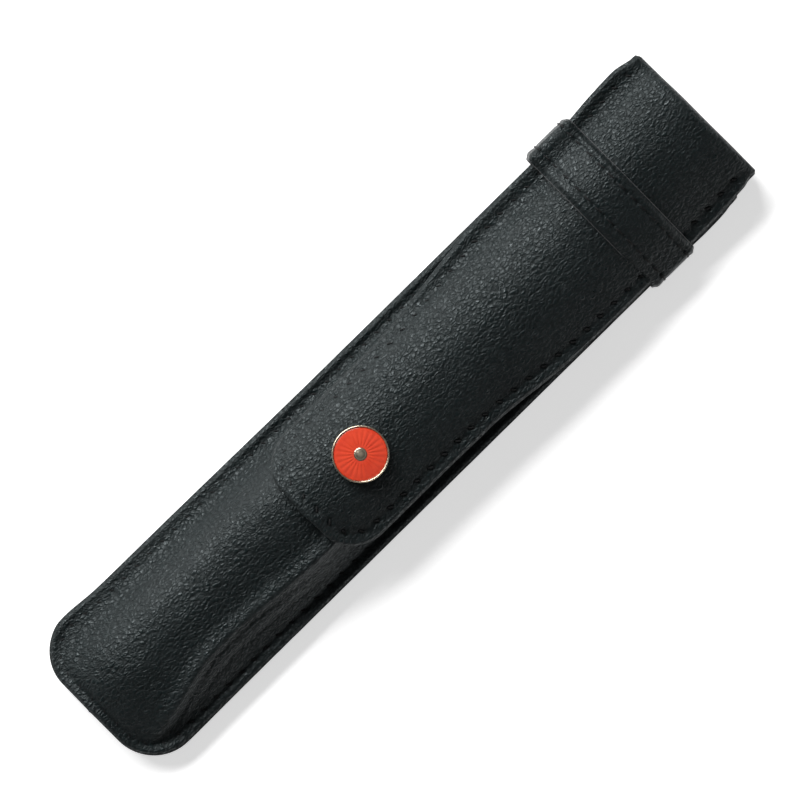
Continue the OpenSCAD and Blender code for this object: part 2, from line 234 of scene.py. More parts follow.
def tube_faces(idx):
    """Quads round a tube of point numbers (along, around), and its two end caps."""
    nxt = np.roll(idx, -1, axis=1)
    quads = flat(np.stack([idx[:-1], nxt[:-1], nxt[1:], idx[1:]], -1)).tolist()
    return quads + [idx[0][::-1].tolist(), idx[-1].tolist()]


def thread_points(length, radius, along=11, around=10, dip=0.75, arch=0.12):
    """A stitch: a short length of two-ply thread whose ends go down into their holes."""
    s = np.linspace(-1, 1, along)
    ph = np.linspace(0, 2 * math.pi, around, endpoint=False)
    S, P = np.meshgrid(s, ph, indexing="ij")
    turn = S * length / 2 / 1.1 * 2 * math.pi
    r = radius * (1 + 0.16 * np.cos(2 * (P - turn)))
    r = r * np.sqrt(np.clip(1 - np.abs(S) ** 9, 0.02, 1))
    z = arch * (1 - S**2) - dip * np.abs(S) ** 5
    return np.stack([S * length / 2, r * np.cos(P), z + r * np.sin(P)], -1)


def stitches(name, places, length, radius, tilt=0.0, **shape):
    """places: (point, along, up) triples in mm. All stitches become one object."""
    one = thread_points(length, radius, **shape)
    na, nr = one.shape[:2]
    one_faces = tube_faces(np.arange(na * nr).reshape(na, nr))
    verts, faces, uvs = [], [], []
    for n, (p, t, up) in enumerate(places):
        t, up = np.asarray(t, float), np.asarray(up, float)
        t = t - up * (t @ up)
        t /= np.linalg.norm(t)
        side = np.cross(up, t)
        a = tilt + rng.normal(0, 0.03)
        t, side = t * math.cos(a) + side * math.sin(a), side * math.cos(a) - t * math.sin(a)
        g = one.reshape(-1, 3) * np.array([1 + rng.normal(0, 0.03), 1, 1])
        verts.append(p + g[:, :1] * t + g[:, 1:2] * side + g[:, 2:3] * up)
        uvs.append(np.stack([g[:, 0] + n * 5, np.tile(np.arange(nr) * 0.2, na)], 1))
        off = n * na * nr
        faces += [[i + off for i in f] for f in one_faces]
    return new_object(name, np.concatenate(verts), faces, np.concatenate(uvs))


# ------------------------ materials
def material(name):
    m = bpy.data.materials.new(name)
    m.use_nodes = True
    nt = m.node_tree
    return m, nt, nt.nodes["Principled BSDF"]


def link(nt, a, b):
    nt.links.new(a, b)


def node(nt, kind, **values):
    n = nt.nodes.new(kind)
    for key, value in values.items():
        if hasattr(n, key):
            setattr(n, key, value)
        else:
            n.inputs[key.replace("_", " ")].default_value = value
    return n


def texture(nt, kind, co, **values):
    """A texture node at the coordinates co."""
    n = node(nt, "ShaderNodeTex" + kind, **values)
    link(nt, co, n.inputs["Vector"])
    return n


def math_node(nt, op, a, b, clamp=False):
    n = nt.nodes.new("ShaderNodeMath")
    n.operation, n.use_clamp = op, clamp
    for k, v in enumerate((a, b)):
        if isinstance(v, (int, float)):
            n.inputs[k].default_value = v
        else:
            link(nt, v, n.inputs[k])
    return n.outputs[0]


def add(nt, a, b, clamp=False):
    return math_node(nt, "ADD", a, b, clamp)


def minus(nt, a, b):
    return math_node(nt, "SUBTRACT", a, b)


def times(nt, a, b):
    return math_node(nt, "MULTIPLY", a, b)


def map_range(nt, value, a, b, c, d):
    """The range from a to b carried over to the range from c to d."""
    n = nt.nodes.new("ShaderNodeMapRange")
    link(nt, value, n.inputs[0])
    for k, v in enumerate((a, b, c, d)):
        n.inputs[k + 1].default_value = v
    return n.outputs[0]


def mix_color(nt, fac, a, b):
    """A colour between the fixed colours a and b."""
    n = nt.nodes.new("ShaderNodeMix")
    n.data_type = "RGBA"
    link(nt, fac, n.inputs[0])
    n.inputs[6].default_value = a
    n.inputs[7].default_value = b
    return n.outputs[2]


def emboss(nt, bsdf, height, strength, distance):
    """Bump from a height; distance is the depth in metres of a height of 1."""
    n = node(nt, "ShaderNodeBump", Strength=strength, Distance=distance)
    link(nt, height, n.inputs["Height"])
    link(nt, n.outputs[0], bsdf.inputs["Normal"])


def grain_coords(nt, along=1.0):
    """Grain coordinates in millimetres: x across the case, y along it."""
    uv = node(nt, "ShaderNodeUVMap", uv_map="grain")
    m = node(nt, "ShaderNodeMapping")
    m.inputs["Scale"].default_value = (GRAIN_UNIT, GRAIN_UNIT * along, 1)
    link(nt, uv.outputs[0], m.inputs[0])
    return m.outputs[0]


# leather colours: the dark one paints shade into the creases of the grain and also gives darker patches of random
# tone
LEATHER_DARK = (0.0010, 0.0026, 0.0029, 1)
LEATHER_LIGHT = (0.0090, 0.0155, 0.0164, 1)
LEATHER_ROUGH = 0.3
LEATHER_DEPTH = 0.00022


def leather(name, depth=1.0):
    """Black leather with a fine pebbled grain: small rounded cushions drawn out a little along
    the case, pores and slight colour change; the creases between them are painted darker as shade."""
    m, nt, bsdf = material(name)
    co = grain_coords(nt, along=0.75)
    warp = texture(nt, "Noise", co, Scale=0.8, Detail=3.0)
    shift = node(nt, "ShaderNodeVectorMath", operation="MULTIPLY_ADD")
    link(nt, warp.outputs["Color"], shift.inputs[0])
    shift.inputs[1].default_value = (0.7, 0.7, 0)
    link(nt, co, shift.inputs[2])
    warped = shift.outputs[0]
    cells = texture(nt, "Voronoi", warped, feature="DISTANCE_TO_EDGE", Scale=1.35)
    small = texture(nt, "Voronoi", warped, feature="DISTANCE_TO_EDGE", Scale=3.1)
    wave = texture(nt, "Noise", co, Scale=1.35, Detail=1.0, Roughness=0.4)
    fine = texture(nt, "Noise", co, Scale=6.5, Detail=4.0, Roughness=0.65)
    broad = texture(nt, "Noise", co, Scale=0.07, Detail=3.0, Roughness=0.55)
    ripple = texture(nt, "Wave", co, Scale=0.36, Distortion=9.0, Detail=1.0)
    ripple.inputs["Detail Scale"].default_value = 2.6
    dome = map_range(nt, cells.outputs["Distance"], 0.0, 0.34, 0.0, 1.0)
    dome = minus(nt, 1.0, math_node(nt, "POWER", minus(nt, 1.0, dome), 2.0))
    dome2 = map_range(nt, small.outputs["Distance"], 0.0, 0.3, 0.0, 1.0)
    h = times(nt, dome, 0.36)
    for part, weight in ((dome2, 0.07), (ripple.outputs[1], 0.14), (wave.outputs[0], 1.1), (fine.outputs[0], 0.07)):
        h = add(nt, h, times(nt, part, weight))
    emboss(nt, bsdf, h, 1.0 * depth, LEATHER_DEPTH)
    # painted shade: the creases between the cushions are darker in colour than the tops, which are also smoother
    tops = add(nt, times(nt, dome, 0.7), times(nt, ripple.outputs[1], 0.3))
    painted_crease_shade = times(nt, tops, map_range(nt, wave.outputs[0], 0.3, 0.66, 0.3, 1.0))
    tone = add(nt, times(nt, painted_crease_shade, 0.8), times(nt, minus(nt, broad.outputs[0], 0.45), 0.5), clamp=True)
    link(nt, mix_color(nt, tone, LEATHER_DARK, LEATHER_LIGHT), bsdf.inputs["Base Color"])
    r = add(nt, map_range(nt, painted_crease_shade, 0.0, 0.85, LEATHER_ROUGH + 0.4, LEATHER_ROUGH - 0.03),
            times(nt, minus(nt, broad.outputs[0], 0.5), 0.16))
    link(nt, r, bsdf.inputs["Roughness"])
    bsdf.inputs["Specular IOR Level"].default_value = 0.37
    bsdf.inputs["Specular Tint"].default_value = (0.9, 0.985, 1.0, 1)
    bsdf.inputs["Sheen Weight"].default_value = 0.02
    bsdf.inputs["Sheen Roughness"].default_value = 0.45
    return m


def suede(name, dark, light):
    """Short-napped lining cloth."""
    m, nt, bsdf = material(name)
    co = grain_coords(nt)
    nap = texture(nt, "Noise", co, Scale=4.5, Detail=6.0, Roughness=0.7)
    broad = texture(nt, "Noise", co, Scale=0.12, Detail=3.0)
    wave = texture(nt, "Wave", co, Scale=2.2, Distortion=3.0, Detail=3.0)
    tone = add(nt, times(nt, nap.outputs[0], 0.6), times(nt, broad.outputs[0], 0.5), clamp=True)
    link(nt, mix_color(nt, tone, dark, light), bsdf.inputs["Base Color"])
    emboss(nt, bsdf, add(nt, nap.outputs[0], times(nt, wave.outputs[1], 0.2)), 0.7, 0.00012)
    link(nt, map_range(nt, nap.outputs[0], 0.2, 0.8, 0.8, 0.95), bsdf.inputs["Roughness"])
    bsdf.inputs["Sheen Weight"].default_value = 0.35
    bsdf.inputs["Sheen Roughness"].default_value = 0.5
    return m


def edge_paint(name):
    """Dark, uneven edge dye on the fibre board."""
    m, nt, bsdf = material(name)
    n = texture(nt, "Noise", grain_coords(nt), Scale=2.5, Detail=5.0, Roughness=0.65).outputs[0]
    link(nt, mix_color(nt, n, (0.008, 0.008, 0.008, 1), (0.03, 0.026, 0.022, 1)), bsdf.inputs["Base Color"])
    emboss(nt, bsdf, n, 0.6, 0.00015)
    link(nt, map_range(nt, n, 0.3, 0.7, 0.5, 0.75), bsdf.inputs["Roughness"])
    return m


def thread(name):
    """Dark two-ply thread with fine fuzz."""
    m, nt, bsdf = material(name)
    co = grain_coords(nt)
    ply = texture(nt, "Wave", co, Scale=1.6, Distortion=1.2, Detail=2.0).outputs[1]
    fuzz = texture(nt, "Noise", co, Scale=9.0, Detail=4.0).outputs[0]
    link(nt, mix_color(nt, fuzz, (0.002, 0.0024, 0.0027, 1), (0.008, 0.009, 0.0095, 1)), bsdf.inputs["Base Color"])
    emboss(nt, bsdf, add(nt, ply, times(nt, fuzz, 0.5)), 0.5, 0.00008)
    link(nt, map_range(nt, fuzz, 0.3, 0.7, 0.5, 0.7), bsdf.inputs["Roughness"])
    bsdf.inputs["Specular IOR Level"].default_value = 0.25
    bsdf.inputs["Sheen Weight"].default_value = 0.02
    return m


def metal(name, color, rough):
    """Lightly scuffed metal."""
    m, nt, bsdf = material(name)
    co = node(nt, "ShaderNodeTexCoord").outputs["Object"]
    fine = texture(nt, "Noise", co, Scale=900.0, Detail=4.0, Roughness=0.6).outputs[0]
    broad = texture(nt, "Noise", co, Scale=260.0, Detail=2.0).outputs[0]
    shade = tuple(c * 0.82 for c in color[:3]) + (1,)
    link(nt, mix_color(nt, broad, shade, color), bsdf.inputs["Base Color"])
    bsdf.inputs["Metallic"].default_value = 1.0
    link(nt, map_range(nt, fine, 0.3, 0.7, rough - 0.05, rough + 0.1), bsdf.inputs["Roughness"])
    emboss(nt, bsdf, fine, 0.12, 0.00003)
    return m


def enamel(name):
    """Clear red enamel under a smooth coat, a little uneven in colour."""
    m, nt, bsdf = material(name)
    co = node(nt, "ShaderNodeTexCoord").outputs["Object"]
    broad = texture(nt, "Noise", co, Scale=420.0, Detail=3.0).outputs[0]
    fine = texture(nt, "Noise", co, Scale=2600.0, Detail=2.0).outputs[0]
    tone = add(nt, times(nt, broad, 0.7), times(nt, fine, 0.3))
    link(nt, mix_color(nt, tone, (0.54, 0.026, 0.012, 1), (0.86, 0.082, 0.027, 1)), bsdf.inputs["Base Color"])
    link(nt, map_range(nt, fine, 0.3, 0.7, 0.16, 0.26), bsdf.inputs["Roughness"])
    emboss(nt, bsdf, broad, 0.05, 0.00004)
    bsdf.inputs["Coat Weight"].default_value = 0.6
    bsdf.inputs["Coat Roughness"].default_value = 0.06
    return m


LEATHER = leather("case_leather")
LEATHER_KEEPER = leather("keeper_leather", depth=0.85)
LINING = suede("lining_suede", (0.02, 0.02, 0.022, 1), (0.05, 0.05, 0.053, 1))
BOARD = edge_paint("board_edge")
THREAD = thread("black_thread")
CHAMPAGNE = metal("champagne_metal", (0.78, 0.66, 0.5, 1), 0.24)
NICKEL = metal("washer_nickel", (0.6, 0.59, 0.57, 1), 0.32)
ENAMEL = enamel("red_enamel")


def dress(obj, mat, body=None, replaces=()):
    """Material, slot and replaced nodes of a piece; a piece without a body is attached to none."""
    obj.data.materials.clear()
    obj.data.materials.append(mat)
    if body:
        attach(obj, body)
    if replaces:
        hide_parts(*replaces)
    return obj


# ------------------------ outline of the pouch
R_LEFT, R_RIGHT = 8.7, 9.7
HALF = back_hi[0]
Y_LOW = Y_BOT - 0.2


def side_left(y):
    """Half width left of the middle, with the swellings that the real outline has."""
    y = np.asarray(y, float)
    w = HALF - 0.15 + 0.42 * ease(-y / 60) + 0.6 * bell((y + 73) / 5.5)
    return w + 0.75 * ease((y - 52) / 24) - 0.45 * ease((y - 77) / 6)


def side_right(y):
    y = np.asarray(y, float)
    return HALF - 0.05 + 0.1 * bell((y + 70) / 9) + 0.2 * bell((y - 67) / 7) - 0.95 * ease((y - 70) / 13)


CORNERS = ((-1, R_LEFT, side_left), (1, R_RIGHT, side_right))


def pouch_edges(y, e):
    """Left and right edge of the outline drawn in by e."""
    out = []
    for side, r, w in CORNERS:
        v = np.clip(Y_LOW + r - np.asarray(y, float), 0, r - e)
        out.append(side * (w(y) - r + np.sqrt(np.maximum((r - e) ** 2 - v * v, 0))))
    return out


def pouch_depth(x, y):
    """Distance inwards from the outline of the pouch."""
    d = np.minimum(np.minimum(x + side_left(y), side_right(y) - x), y - Y_LOW)
    for side, r, w in CORNERS:
        cx, cy = w(y) - r, Y_LOW + r
        inside = (side * x > cx) & (y < cy)
        d = np.where(inside, r - np.hypot(side * x - cx, y - cy), d)
    return d


def pouch_rows(y_end, step, edge):
    """Values of y from the closed end to y_end, close together round the corners."""
    th = np.radians(np.linspace(0, 90, 40))
    r = R_RIGHT
    low = Y_LOW + edge + (r - edge) * (1 - np.cos(th))
    high = np.arange(low[-1] + step, y_end - step / 2, step)
    return np.concatenate([low, high, [y_end]])


def pouch_grid(y_end, inset, nc=156, step=0.34):
    """x and y of a grid that fills the outline, drawn in by inset."""
    ys = pouch_rows(y_end, step, inset)
    f = clustered(nc, 1.35)
    xl, xr = pouch_edges(ys, inset)
    mid, half = (xl + xr) / 2, (xr - xl) / 2
    x = mid[:, None] + half[:, None] * f[None, :]
    return x, np.repeat(ys[:, None], nc, 1)


def inset_path(e, y_end):
    """The outline drawn in by e, from the left top, round the bottom, to the right top."""
    def arc(side, r, w, a0, a1):
        a = np.radians(np.linspace(a0, a1, 40))
        y = Y_LOW + r + (r - e) * np.sin(a)
        return np.stack([side * (w(y) - r) + (r - e) * np.cos(a), y], 1)

    ys = np.arange(y_end, Y_LOW + R_LEFT, -0.5)
    left = np.stack([-(side_left(ys) - e), ys], 1)
    ys = np.arange(Y_LOW + R_RIGHT, y_end, 0.5)
    right = np.stack([side_right(ys) - e, ys], 1)
    return np.concatenate([left, arc(*CORNERS[0], 180, 270), arc(*CORNERS[1], 270, 360), right])


STITCH_IN = 2.4
BODY_PITCH = 3.4
SLANT = -0.7  # radians by which each stitch turns off the line of the seam
SEAM_STITCH = {"length": 1.75, "radius": 0.2, "tilt": SLANT, "arch": 0.06}
body_line, body_dir = resample(inset_path(STITCH_IN, Y_MOUTH - 1.5), BODY_PITCH)


def pits(x, y, line, direction, depth):
    """Slanted dents that the stitches are drawn down into."""
    out = np.zeros_like(x)
    depth = np.broadcast_to(depth, x.shape)
    ca, sa = math.cos(SLANT), math.sin(SLANT)
    for (px, py), (tx, ty) in zip(line, direction):
        near = (np.abs(x - px) < 1.6) & (np.abs(y - py) < 1.6)
        if not near.any():
            continue
        dx, dy = x[near] - px, y[near] - py
        ax, ay = tx * ca - ty * sa, tx * sa + ty * ca
        u, v = dx * ax + dy * ay, dy * ax - dx * ay
        out[near] += depth[near] * np.exp(-((u / 0.85) ** 4) - (v / 0.42) ** 2)
    return out


# ------------------------ cross-section of the flap
A = np.linspace(0, 22, 881)  # lengths along the leather from the middle outwards


def section(side):
    """x, drop and slope of the flap's outside at the lengths A."""
    if side < 0:
        slope = 41 * np.minimum(A / 11.5, 1) ** 1.15 * (1 - ease((A - 12.4) / 3.2))
        slope = slope - 4 * (1 - ease(A / 2.5))
    else:
        slope = 4 + 31 * (1 - np.exp(-(A / 8.2) ** 1.6)) - 4 * ease((A - 13) / 4)
    slope = np.radians(slope)
    da = A[1] - A[0]
    mid = (slope[1:] + slope[:-1]) / 2
    x = np.concatenate([[0], np.cumsum(np.cos(mid)) * da])
    drop = np.concatenate([[0], np.cumsum(np.sin(mid)) * da])
    return x, drop, slope


SECTIONS = {-1: section(-1), 1: section(1)}
FLAT = 0.955  # x for each millimetre of length where the strip has no arch
FLAP_DEPTH = 1.55  # from the flap's outside down to the pouch under it


def flap_tilt(y):
    """The flap leans to the right under and above the keeper."""
    return 0.19 * ease((y - 44) / 20)


def stretch(y):
    """Growth of the section towards the fold."""
    return 1 + 0.13 * ease((y - 52) / 18)


def roof(x, y):
    """Height of the flap's inside."""
    k = stretch(y)
    left = np.interp(-x / k, SECTIONS[-1][0], SECTIONS[-1][1]) * k
    right = np.interp(x / k, SECTIONS[1][0], SECTIONS[1][1]) * k
    return Z_FLAP - FLAP_DEPTH - np.where(x < 0, left, right) - flap_tilt(y) * x


# ------------------------ front panel: an uneven bulge
CREST_X = -0.9
SEAM_X = 15.0


def front_height(x, y):
    """Height of the front leather's outside above the sewn margin."""
    peak = Z_CREST - Z_MARGIN - 0.35 - 1.7 * ease((-28 - y) / 20)
    x = x + 0.35 * noise2(x * 0.2, y, 38, 3)
    turn = ease((-56 - y) / 22)
    left = peak * (1 - ease(np.clip((CREST_X - x) / 13.3, 0, 1) ** 1.7))
    # on the right the leather rises to a soft ridge, then falls to a crease beside the seam
    ridge_x = 7.6 + 3.8 * turn + 1.5 * ease((y + 54) / 26) - 1.6 * ease((y + 24) / 30)
    fall = x - ridge_x
    high = peak - 0.13 * np.clip(x - CREST_X, 0, 20) ** 1.2 + 0.95 * bell((fall - 0.2) / 2.0)
    crease = ridge_x + 1.8
    beyond = np.clip((x - crease) / np.maximum(SEAM_X - crease, 2.2), 0, 1)
    low = 4.8 * (1 - 0.8 * turn) * (1 - beyond) ** 1.15
    low = low + 0.2 * bell((x - crease - 0.75) / 0.6) - 0.2 * bell((x - crease - 1.8) / 0.5)
    right = high + (low - high) * ease((fall - 0.2) / 1.8)
    h = np.where(x < CREST_X, left, right)
    h = soft_floor(h, 0.9) - 0.2
    # the bulge comes up quickly inside the seam all round
    v = np.clip((y - Y_LOW - 2.0) / 22, 0, 1)
    rise = 1 - (1 - v) ** 1.9
    d = pouch_depth(x, y)
    corner = 1 - (1 - np.clip((d - 1.9) / 6, 0, 1)) ** 2.4
    near = ease((Y_LOW + 15 - y) / 9) * ease((np.abs(x + 0.3) - 5) / 7)
    h = h * rise * (corner * near + (1 - near)) * ease((d - 1.5) / 1.2)
    # the flap holds the bulge down
    over = roof(x, y) - Z_MARGIN - 0.25 + 4 * (1 - ease((y - Y_TIP + 0.2) / 3.5))
    h = over - soft_floor(over - h, 0.4)
    h += 0.16 * noise2(x, y, 9, 5) * ease(h / 2) + 0.09 * noise2(x, y, 4.2, 6) * ease(h / 2)
    return np.maximum(h, 0)


def beside_flap(x, y):
    """1 on the left margin along the flap, where the seam lies deeper."""
    return ease((-x - 4) / 4) * ease((y - Y_TIP + 6) / 8)


def build_front():
    x, y = pouch_grid(Y_MOUTH, inset=0.25)
    d = pouch_depth(x, y)
    z = Z_MARGIN + front_height(x, y)
    # the sewn margin dips along the stitch line and rolls down at the edge
    z -= (0.17 + 0.28 * beside_flap(x, y)) * bell((d - STITCH_IN) / 0.9)
    z -= 0.6 * (1 - ease((d - 0.1) / 1.1)) ** 1.8
    z -= pits(x, y, body_line, body_dir, 0.09 + 0.21 * ease((x + 4) / 8) * ease((y + 76) / 8))
    z -= 0.18 * bell((y - Y_MOUTH_SEAM) / 0.7)
    z += 0.03 * noise2(x, y, 2.6, 9)
    outer = np.stack([x, y, z], -1)
    base = np.stack([x, y, Z_MARGIN + front_height(x, y)], -1)
    nb = normals_of(base)
    inner = base - nb * 0.9
    inner[..., 2] = np.maximum(inner[..., 2], Z_SEAM + 0.35)
    lining = base - nb * 1.3
    lining[..., 2] = np.maximum(lining[..., 2], Z_SEAM + 0.02)
    steps = np.diff(base[..., [0, 2]], axis=1, prepend=base[:, :1, [0, 2]])
    across = np.cumsum(np.linalg.norm(steps, axis=2), 1)
    centre = np.take_along_axis(across, np.full((len(x), 1), x.shape[1] // 2), 1)
    uv = np.stack([across - centre, y], -1)
    shell = slab("pouch_front_leather", outer, inner, uv, rim=4)
    dress(shell, LEATHER, "pouch", ["front_panel"])
    k = slice(None, None, 3)
    under = slab("pouch_front_lining", (inner - [0, 0, 0.02])[k, k], lining[k, k], uv[k, k], rim=2, bulge=0.2)
    dress(under, LINING, "pouch", ["front_lining"])


build_front()


def front_point(px, py):
    """Height and upward direction of the front leather at a place."""
    e = 0.15

    def f(a, b):
        return float(Z_MARGIN + front_height(np.array([a]), np.array([b]))[0])

    gx = (f(px + e, py) - f(px - e, py)) / (2 * e)
    gy = (f(px, py + e) - f(px, py - e)) / (2 * e)
    up = np.array([-gx, -gy, 1])
    return f(px, py), up / np.linalg.norm(up)


places = []
for (px, py), (tx, ty) in zip(body_line, body_dir):
    hz, up = front_point(px, py)
    sink = 0.42 + 0.22 * float(beside_flap(px, py))
    places.append((np.array([px, py, hz - sink]), np.array([tx, ty, 0]), up))
for (px, py), (tx, ty) in zip(body_line, body_dir):
    places.append((np.array([px, py, Z_BACK + 0.28]), np.array([tx, ty, 0]), np.array([0, 0, -1.0])))
seam = stitches("pouch_seam_thread", places, **SEAM_STITCH)
dress(seam, THREAD, "pouch", ["body_stitching"])

mouth = []
xs = np.linspace(-13.6, 13.9, 240)
row = np.stack([xs, Z_MARGIN + front_height(xs, np.full_like(xs, Y_MOUTH_SEAM))], 1)
for (px, pz), (tx, tz) in zip(*resample(row, 3.3)):
    mouth.append((np.array([px, Y_MOUTH_SEAM, pz - 0.12]), np.array([tx, 0, tz]), np.array([-tz, 0, tx])))
mouth = stitches("mouth_thread", mouth, 2.6, 0.27, tilt=0.1)
dress(mouth, THREAD, "pouch", ["mouth_stitching"])


# ------------------------ back of the pouch, up to the keeper's middle
def build_back():
    x, y = pouch_grid(SPLIT_Y, inset=0.42)
    d = pouch_depth(x, y)
    z = Z_BACK + 0.24 * bell((d - STITCH_IN) / 0.8) + 0.5 * (1 - ease((d - 0.1) / 1.2)) ** 1.6
    z += pits(x, y, body_line, body_dir, 0.38)
    z += 0.04 * noise2(x, y, 11, 12) + 0.02
    outer = np.stack([x, y, z], -1)
    inner = np.stack([x, y, np.full_like(z, Z_BACK + BACK_T)], -1)
    uv = np.stack([x + 200, y], -1)
    skin = slab("pouch_back_leather", outer, inner, uv, rim=4, skip=("last",))
    dress(skin, LEATHER, "pouch", ["back_panel"])
    x, y = pouch_grid(SPLIT_Y, nc=40, step=2.0, inset=0.75)
    z_board = Z_BACK + BACK_T
    z_lining = Z_BACK + BACK_T + 0.3

    def layer(name, top, bottom):
        sheets = [np.stack([x, y, np.full_like(x, z)], -1) for z in (top, bottom)]
        return slab(name, *sheets, np.stack([x, y], -1), rim=2, bulge=0.3, skip=("last",))

    board = layer("pouch_back_board", z_lining - 0.01, z_board + 0.01)
    dress(board, BOARD, "pouch", ["back_stiffener"])
    under = layer("pouch_back_lining", Z_SEAM - 0.015, z_lining)
    dress(under, LINING, "pouch", ["back_lining"])


build_back()

# ------------------------ outline of the flap
TIP_R = 8.6


def arch_share(y):
    """How much of the section's arch is left; it flattens a little towards the fold."""
    return 1 - 0.12 * ease((y - (Y_TOP - 19)) / 17)


def flap_side(y, side):
    """Half width of the flap seen from the front, without the rounded tip."""
    y = np.asarray(y, float)
    if side < 0:
        return 13.1 + 3.3 * ease((y - 4) / 38) + 1.7 * ease((y - 50) / 27) - 1.0 * ease((y - 76) / 6.5)
    return 14.15 + 2.15 * ease((y - 10) / 28) - 0.25 * ease((y - 60) / 8) - 0.55 * ease((y - 69) / 13)


def flap_cut(y):
    """Width that the rounded tip takes off each side."""
    v = np.clip(Y_TIP + TIP_R - np.asarray(y, float), 0, TIP_R)
    return TIP_R - np.sqrt(np.maximum(TIP_R**2 - v * v, 0))


def side_x(a, y, side):
    """Distance from the middle, seen from the front, at the length a across."""
    x, drop, slope = SECTIONS[side]
    k, w = arch_share(y), stretch(y)
    return k * np.interp(a / w, A, x) * w + (1 - k) * a * FLAT


def side_length(y, w, side):
    """Length along the section that reaches the half width w."""
    lo, hi = np.zeros_like(w), np.full_like(w, 21.5)
    for _ in range(28):
        m = (lo + hi) / 2
        short = side_x(m, y, side) < w
        lo, hi = np.where(short, m, lo), np.where(short, hi, m)
    return (lo + hi) / 2


def flap_lengths(y):
    """Lengths across to the flap's left and right edge, without the rounded tip."""
    return [side_length(y, flap_side(y, side), side) for side in (-1, 1)]


def flap_shape(a, y):
    """x, drop and slope across the flap for a signed length a."""
    k, w = arch_share(y), stretch(y)
    out = []
    for part in range(3):
        left = np.interp(-a / w, A, SECTIONS[-1][part])
        right = np.interp(a / w, A, SECTIONS[1][part])
        out.append(np.where(a < 0, left, right) * (w if part < 2 else 1))
    x = (k * out[0] + (1 - k) * np.abs(a) * FLAT) * np.sign(a)
    tilt = flap_tilt(y)
    return x, k * out[1] + tilt * x, k * out[2] + np.sign(a) * np.arctan(tilt)


# ------------------------ strip: back, fold, flap and tongue in one line
FOLD_R = 1.7
FOLD_BOW = 0.3  # bulge of the fold's end
Y_FOLD = Y_TOP - FOLD_R - FOLD_BOW  # the flat front and the flat back begin here
FOLD_HALF = (Z_FLAP - Z_BACK) / 2
FOLD_ARC = FOLD_R * math.pi / 2
FRONT_S0 = FOLD_HALF - FOLD_R + FOLD_ARC  # length from the middle of the fold to the flat front


def strip_path(s):
    """Place and outward direction in the middle of the strip; s is 0 half way up the fold."""
    s = np.asarray(s, float)
    side = np.sign(s)
    straight = FOLD_HALF - FOLD_R
    q = np.abs(s)
    t = np.clip((q - straight) / FOLD_ARC, 0, 1) * math.pi / 2
    run = np.maximum(q - straight - FOLD_ARC, 0)
    y = Y_TOP - FOLD_R + FOLD_R * np.cos(t) - run
    z = (Z_FLAP + Z_BACK) / 2 + side * (np.minimum(q, straight) + FOLD_R * np.sin(t))
    bow = FOLD_BOW * (1 - np.clip(q / (straight + FOLD_ARC), 0, 1) ** 2)
    return y + bow - FOLD_BOW, z, np.cos(t), side * np.sin(t)


def s_front(y):
    """Length along the strip to a place on its front; the back has the same lengths below 0."""
    return FRONT_S0 + (Y_FOLD - np.asarray(y, float))


def tip_depth(a, y):
    """Distance inwards from the flap's edge, in the plane of the leather."""
    la, lb = flap_lengths(y)
    d = np.minimum(la + a, lb - a)
    d = np.minimum(d, y - Y_TIP)
    for side, w in ((-1, la), (1, lb)):
        cx = w - TIP_R
        inside = (side * a > cx) & (y < Y_TIP + TIP_R)
        d = np.where(inside, TIP_R - np.hypot(side * a - cx, y - Y_TIP - TIP_R), d)
    return d


def flap_outline(e):
    """Edge line of the flap drawn in by e, as (length across, y), from the left top to the right top."""
    ys = np.arange(Y_TOP - 2.6, Y_TIP + TIP_R, -0.5)
    la, lb = flap_lengths(ys)
    cy = Y_TIP + TIP_R
    ca, cb = (w[0] - TIP_R for w in flap_lengths(np.array([cy])))
    arcs = []
    for cx, a0, a1 in ((-ca, 180, 270), (cb, 270, 360)):
        a = np.radians(np.linspace(a0, a1, 40))
        arcs.append(np.stack([cx + (TIP_R - e) * np.cos(a), cy + (TIP_R - e) * np.sin(a)], 1))
    return np.concatenate([np.stack([-(la - e), ys], 1), *arcs, np.stack([lb - e, ys], 1)[::-1]])


EDGE_IN = 2.6
FLAP_PITCH = 3.65
flap_line, flap_dir = resample(flap_outline(EDGE_IN), FLAP_PITCH)


def flap_relief(a, y):
    """Height of the leather's face over its even surface."""
    d = tip_depth(a, y)
    right = ease((a + 4) / 8)
    z = -(0.07 + 0.09 * right) * bell((d - EDGE_IN) / 0.9) - 0.62 * (1 - ease((d - 0.05) / 1.05)) ** 1.9
    # the edge outside the seam flares up a little on the far side from the light
    flare = right * (0.35 + 0.65 * np.maximum(1 - ease((y - 26) / 12), ease((y - 60) / 6)))
    z += (0.12 + 0.85 * flare) * np.clip(1 - d / 2.7, 0, 1) ** 2
    z -= pits(a, y, flap_line, flap_dir, 0.16 + 0.2 * right)
    z += 0.15 * noise2(a, y, 13, 21) + 0.05 * noise2(a, y, 5, 22)
    return z


def strip_point(a, s, lift):
    """A point of the strip at length a across and s along it, lifted off its outside."""
    y0, z0, ny, nz = strip_path(s)
    yy = np.where(s > FRONT_S0, y0, Y_TOP)
    x, drop, slope = flap_shape(a, yy)
    # round the fold the arch of the flap runs out into the flat back
    high = np.clip((z0 - Z_BACK) / (Z_FLAP - Z_BACK), 0, 1)
    drop = drop * high
    slope = slope * np.where(s > FRONT_S0, 1, high * ease((s + FRONT_S0) / (2 * FRONT_S0)))
    up = lift * np.cos(slope)
    lean = 0.017 * x * ease((y0 - 62) / 18)
    x = x + np.sign(a) * np.sin(slope) * lift
    return np.stack([x, y0 + lean + ny * up, z0 + nz * up - drop], -1)


